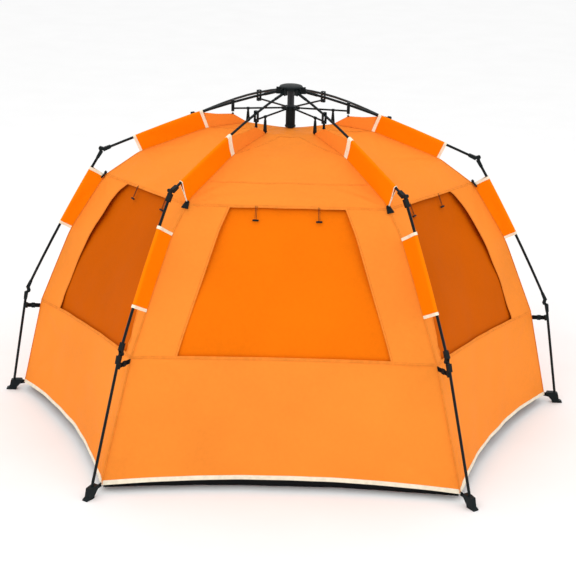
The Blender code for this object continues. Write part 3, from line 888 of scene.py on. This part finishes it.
def tube_sheet(build, rings, thickness=0.0007):
    """An open-ended fabric tube with a real wall."""
    count = len(rings[0])
    inner = []
    for ring in rings:
        middle = sum(ring, Vector()) / count
        shrunk = []
        for j, point in enumerate(ring):
            ahead = (ring[(j + 1) % count] - ring[j - 1]).normalized()
            axis = (rings[-1][j] - rings[0][j]).normalized()
            side = ahead.cross(axis).normalized()
            side = side if side.dot(middle - point) > 0 else -side
            shrunk.append(point + side * min(thickness, (middle - point).length * 0.3))
        inner.append(shrunk)
    verts = [p for ring in rings + inner for p in ring]
    total = len(rings) * count
    faces = tube_faces(len(rings), count, False)
    faces += [(a + total, d + total, c + total, b + total) for a, b, c, d in faces]
    for k in (0, len(rings) - 1):
        for j in range(count):
            a, b = k * count + j, k * count + (j + 1) % count
            faces.append((a, a + total, b + total, b))
    build.add(verts, faces)


def sleeve(leg, part, rows, pole, radius, body):
    """A fin of cloth sewn to the canopy and looped round a pole, with a cream binding at each end."""
    line = CORNERS[leg.name]
    spots = line_between(line, rows[0], rows[1], SLEEVE_SPOTS)
    rings = sleeve_rings(leg, spots, pole, radius)
    for k, ring in enumerate(rings):
        slack = SLEEVE_SLACK * sin(pi * k / (SLEEVE_SPOTS - 1)) ** 0.5
        for j, point in enumerate(ring):
            loose = 1 if 7 <= j <= 16 else 0.2
            wave = slack * sin(9.0 * k / SLEEVE_SPOTS + 1.1 * j + leg.azimuth * 3) * loose
            ring[j] = point + leg.across * wave
    cloth_tube = Build()
    tube_sheet(cloth_tube, rings)
    bands = Build()
    share = SLEEVE_BINDING / (spots[-1] - spots[0]).length * (rows[1] - rows[0])
    for low, high in ((rows[0] - share * 0.15, rows[0] + share), (rows[1] - share, rows[1] + share * 0.15)):
        tube_sheet(bands, sleeve_rings(leg, line_between(line, low, high, 3), pole, radius, 0.0013), 0.0016)
    cloth_tube.ride(f"{part}_sleeve_{leg.name}", "sleeve", f"{body}_{leg.name}", SHARP_ANGLE)
    bands.ride(f"{part}_sleeve_binding_{leg.name}", "cream", f"{body}_{leg.name}", SHARP_ANGLE)


def peak_of(leg):
    """The bracket's foot and the gusset's peak that hangs under it, as (distance out, height)."""
    points = leg.plane_points(f"bracket_{leg.name}", 0.02)
    middle = sum(points, Vector((0, 0))) / len(points)
    low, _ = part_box(f"bracket_{leg.name}")
    return Vector((middle.x, low.z + 0.003)), Vector((middle.x, low.z - PEAK_DROP[leg.kind]))


def gusset(leg):
    """The fin of cloth between the rib and the roof, pulled up into a peak under the bracket."""
    rows, columns = GUSSET_GRID
    base = line_between(CORNERS[leg.name], SPLIT_ROW, SLEEVE_ROWS[0] + 0.5, columns + 1)
    _, peak = peak_of(leg)
    on_pole = nearest_on(leg.rib_line, base[-1])
    hang = (peak + on_pole) / 2 + Vector((0, -0.004))
    tops = [base[0] + Vector((0, 0.001)), peak, hang, on_pole]
    points, uvs = (np.zeros((rows + 1, columns + 1, size)) for size in (3, 2))
    for k, low in enumerate(base):
        reach = base[0].x + (on_pole.x - base[0].x) * k / columns
        high = Vector((reach, float(np.interp(reach, [p.x for p in tops], [p.y for p in tops]))))
        for i in range(rows + 1):
            spot = high.lerp(low, i / rows)
            loose = 0.0016 * sin(pi * i / rows) * sin(2.2 * pi * k / columns + leg.azimuth)
            points[i, k] = leg.room(spot, loose)
            uvs[i, k] = spot
    build = Build()
    build.sheet(points, np.zeros_like(points) - np.array(leg.across), uvs, GUSSET_THICKNESS)
    build.ride(f"gusset_{leg.name}", "cloth", f"rib_{leg.name}")


# Straps, clips and toggles


def frame_matrix(origin, x_axis, z_axis):
    x_axis = Vector(x_axis).normalized()
    y_axis = Vector(z_axis).cross(x_axis).normalized()
    z_axis = x_axis.cross(y_axis)
    turn = Matrix((x_axis, y_axis, z_axis)).transposed().to_4x4()
    return Matrix.Translation(origin) @ turn


def band(build, path, width, thickness, across):
    """A flat webbing along room points, its width along across."""
    rings = []
    for k, point in enumerate(path):
        ahead = (path[min(k + 1, len(path) - 1)] - path[max(k - 1, 0)]).normalized()
        side = (across - ahead * across.dot(ahead)).normalized() * (width / 2)
        up = ahead.cross(side).normalized() * (thickness / 2)
        rings.append([point + side * 0.96 + up, point + side, point + side * 0.96 - up,
                      point - side * 0.96 - up, point - side, point - side * 0.96 + up])
    build.loft(rings)


def straight(start, end, steps=4):
    return [start.lerp(end, k / steps) for k in range(steps + 1)]


def collar(leg, centre, along, half_length, radius):
    """Two rings of a short tube round a pole."""
    square = Vector((-along.y, along.x))
    turns = [2 * pi * k / 14 for k in range(14)]
    rings = []
    for shift in (-half_length, half_length):
        middle = centre + along * shift
        rings.append([leg.room(middle + square * (radius * sin(a)), radius * cos(a)) for a in turns])
    return rings


def finish_strap(leg, name, body, webbing, plastic):
    """Makes a strap's webbing and its plastic fitting, both on one body of the leg."""
    webbing.ride(f"{name}_strap_{leg.name}", "webbing", f"{body}_{leg.name}")
    plastic.ride(f"{name}_hook_{leg.name}", "plastic", f"{body}_{leg.name}", SHARP_ANGLE)


def peak_strap(leg):
    """The webbing and hook that hang the roof from the bracket on the rib."""
    foot, peak = peak_of(leg)
    webbing, hook = Build(), Build()
    top, bottom = leg.room(foot), leg.room(peak + Vector((0, 0.001)))
    band(webbing, straight(top, bottom), STRAP_WIDTH["peak"], WEBBING, leg.across)
    hook.block(frame_matrix(bottom, leg.out, (0, 0, 1)), PEAK_HOOK, 0.0010)
    finish_strap(leg, "peak", "rib", webbing, hook)


def crown_strap(leg):
    """A flat hook on a short webbing, hung from the strut to hold up the crown."""
    start = leg.flat(Vector(JOINTS[f"strut_{leg.name}_hinge"]["pos_m"]))
    low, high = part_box(f"strut_{leg.name}")
    tip = hypot(max(abs(low.x), abs(high.x)), max(abs(low.y), abs(high.y)))
    reach = start.x + (tip - start.x) * CROWN_HOOK_SHARE
    height = float(np.interp(reach, *CORNERS[leg.name].T))
    webbing, hook = Build(), Build()
    top, bottom = leg.room((reach, start.y - 0.008)), leg.room((reach, height + 0.0015))
    wide = leg.out if leg.is_side else leg.across
    band(webbing, straight(top, bottom), STRAP_WIDTH["crown"], 0.0020, wide)

    def taper(co):
        return Vector((co.x, co.y * (1.0 if co.x < 0 else 0.55), co.z))

    body = frame_matrix(top.lerp(bottom, 0.55), (0, 0, 1), leg.across if leg.is_side else leg.out)
    hook.block(body, ((top - bottom).length * 0.80, *CROWN_HOOK), 0.0024, taper)
    hook.loft(collar(leg, Vector((reach, start.y - 0.006)), Vector((1, 0)), *STRUT_COLLAR))
    finish_strap(leg, "crown", "strut", webbing, hook)


def eave_clip(leg):
    """The black corner tab at the eave."""
    build = Build()
    middle = leg.room(Vector(CORNERS[leg.name][EAVE_ROW]) + Vector((0.004, 0.002)))
    place = frame_matrix(middle, leg.across, leg.out + Vector((0, 0, 0.9)))

    def taper(co):
        return Vector((co.x * (1.0 if co.y < 0 else 0.45), co.y, co.z))

    build.block(place, EAVE_TAB, 0.0020, taper)
    build.block(place @ Matrix.Translation((0, 0.012, 0.004)), EAVE_KNOB, 0.0018)
    build.ride(f"eave_clip_{leg.name}", "plastic", f"rib_{leg.name}", SHARP_ANGLE)


def wall_strap(leg):
    """The level webbing and ladder buckle that hold the wall's corner to the lower leg."""
    shin = leg.shin_line
    fabric = Vector(CORNERS[leg.name][SEAM_ROW + (2 if leg.is_side else 1)])
    top, foot = shin[0], shin[-1]
    pole = top.lerp(foot, (top.y - fabric.y) / (top.y - foot.y))
    webbing, buckle = Build(), Build()
    path = straight(leg.room(fabric), leg.room(pole))
    band(webbing, path, STRAP_WIDTH["wall"], WEBBING, Vector((0, 0, 1)))
    place = frame_matrix(path[0].lerp(path[-1], 0.5), leg.out, (0, 0, 1))
    buckle.block(place, BUCKLE, 0.0018)
    buckle.loft(collar(leg, pole, (foot - top).normalized(), *SHIN_COLLAR))
    finish_strap(leg, "wall", "lower_leg", webbing, buckle)


def foot_loop(leg):
    """The tape that hooks the hem's corner on the foot."""
    build = Build()
    hem = Vector(CORNERS[leg.name][-1])
    reach = max(p.x for p in leg.plane_points(f"foot_{leg.name}", 0.02))
    end = Vector((reach - 0.045, 0.030))
    band(build, straight(leg.room(hem), leg.room(end)), STRAP_WIDTH["foot"], WEBBING, Vector((0, 0, 1)))
    build.ride(f"foot_loop_{leg.name}", "webbing", f"lower_leg_{leg.name}")


def hub_rim():
    """The rolled edge of the hub's cap."""
    low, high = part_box("hub_cap")
    turns = [2 * pi * j / 8 for j in range(8)]
    section = [(high.x - RIM_WIRE / 2 + RIM_WIRE * cos(b), low.z + RIM_WIRE * (1 + sin(b))) for b in turns]
    rings = []
    for turn in (2 * pi * k / 48 for k in range(49)):
        out = Vector((cos(turn), sin(turn), 0))
        rings.append([out * reach + Vector((0, 0, height)) for reach, height in section])
    build = Build()
    build.loft(rings, closed_ends=False)
    build.ride("hub_cap_rim", "plastic", "hub", SHARP_ANGLE)


def dress_leg(leg):
    for half in HALVES[leg.name]:
        dress_half(half)
    if not leg.is_rear:
        outer_row = SLEEVE_ROWS[1] if leg.is_side else EAVE_ROW - 2
        sleeve(leg, "roof", (SLEEVE_ROWS[0], outer_row), leg.rib_line, RIB_RADIUS, "rib")
        gusset(leg)
        peak_strap(leg)
        crown_strap(leg)
    start, end = WALL_SLEEVE[leg.kind]
    rows = (EAVE_ROW + start * ROWS["wall"], EAVE_ROW + end * ROWS["wall"])
    sleeve(leg, "wall", rows, leg.leg_line, LEG_RADIUS, "upper_leg")
    eave_clip(leg)
    wall_strap(leg)
    foot_loop(leg)


def finish_cad_nodes():
    kinds = {"black_plastic": "plastic", "black_pole": "pole", "dark_metal": "metal"}
    for node in frame["nodes"].values():
        for slot in node.material_slots:
            if slot.material and slot.material.name in kinds:
                slot.material = MATERIALS[kinds[slot.material.name]]


# Studio

FLOOR_REACH = 60.0
FLOOR_TONES = [(0.3, (0.94, 0.94, 0.94)), (0.7, (0.96, 0.96, 0.96))]
LIGHTS = {  # place, side of the square and power
    "key": ((-2.6, -4.6, 5.2), 3.0, 62),
    "fill": ((4.5, -3.0, 3.0), 3.0, 20),
    "top": ((0.0, 1.0, 6.0), 5.0, 30),
}


def add_area(name, location, target, side, power):
    light = bpy.data.lights.new(name, "AREA")
    light.shape = "RECTANGLE"
    light.size = light.size_y = side
    light.energy = power
    lamp = bpy.data.objects.new(name, light)
    lamp.location = location
    lamp.rotation_euler = (Vector(target) - Vector(location)).to_track_quat("-Z", "Y").to_euler()
    bpy.context.scene.collection.objects.link(lamp)


def studio():
    scene = bpy.context.scene
    scene.view_settings.view_transform = "Standard"
    low, high = cad_box
    world = bpy.data.worlds.new("studio")
    world.use_nodes = True
    sky = world.node_tree.nodes["Background"]
    sky.inputs["Color"].default_value = (1.0, 1.0, 1.0, 1.0)
    sky.inputs["Strength"].default_value = 1.0
    scene.world = world
    floor_mesh = bpy.data.meshes.new("floor")
    corners = [(FLOOR_REACH * x, FLOOR_REACH * y, 0) for x, y in ((-1, -1), (1, -1), (1, 1), (-1, 1))]
    floor_mesh.from_pydata(corners, [], [(0, 1, 2, 3)])
    floor = bpy.data.objects.new("floor", floor_mesh)
    nodes = Nodes("pale_floor")
    room = nodes.add("ShaderNodeTexCoord").outputs["Object"]
    nodes.link(nodes.ramp(nodes.noise(room, 3.0), FLOOR_TONES), "Base Color")
    nodes.set({"Roughness": 0.9, "Specular IOR Level": 0.0})
    floor_mesh.materials.append(nodes.material)
    floor.location.z = low.z - 0.0005
    scene.collection.objects.link(floor)
    for name, (location, side, power) in LIGHTS.items():
        add_area(name, location, (0, 0, high.z / 2), side, power)


def camera():
    data = bpy.data.cameras.new("camera")
    data.lens = CAMERA_LENS
    data.shift_x, data.shift_y = CAMERA_SHIFT
    view = bpy.data.objects.new("camera", data)
    level = cos(CAMERA_PITCH)
    forward = Vector((-sin(CAMERA_YAW) * level, cos(CAMERA_YAW) * level, sin(CAMERA_PITCH)))
    right = Vector((cos(CAMERA_YAW), sin(CAMERA_YAW), 0))
    up = right.cross(forward)
    x_axis = right * cos(CAMERA_ROLL) + up * sin(CAMERA_ROLL)
    y_axis = up * cos(CAMERA_ROLL) - right * sin(CAMERA_ROLL)
    turn = Matrix((x_axis, y_axis, -forward)).transposed().to_4x4()
    place = Vector((CAMERA_DISTANCE * sin(CAMERA_YAW), -CAMERA_DISTANCE * cos(CAMERA_YAW), CAMERA_HEIGHT))
    view.matrix_world = Matrix.Translation(place) @ turn
    bpy.context.scene.collection.objects.link(view)
    bpy.context.scene.camera = view


LEGS = [Leg(name) for name in LEG_NAMES]
WALL_NODES = [node for node in frame["nodes"] if node.startswith("wall_")]


def wall_beside(leg):
    """The name of a wall node that has an edge along this leg."""
    return next(node for node in sorted(WALL_NODES) if len(leg.plane_points(node, 0.002)) >= 8)


CORNERS = {leg.name: corner_line(leg, wall_beside(leg)) for leg in LEGS}
PANELS = [Panel(leg, LEGS[(k + 1) % len(LEGS)], k) for k, leg in enumerate(LEGS)]
HALVES = {leg.name: [Half(leg, panel) for panel in PANELS if leg in panel.legs] for leg in LEGS}

for leg in LEGS:
    dress_leg(leg)
hub_rim()
finish_cad_nodes()
studio()
camera()
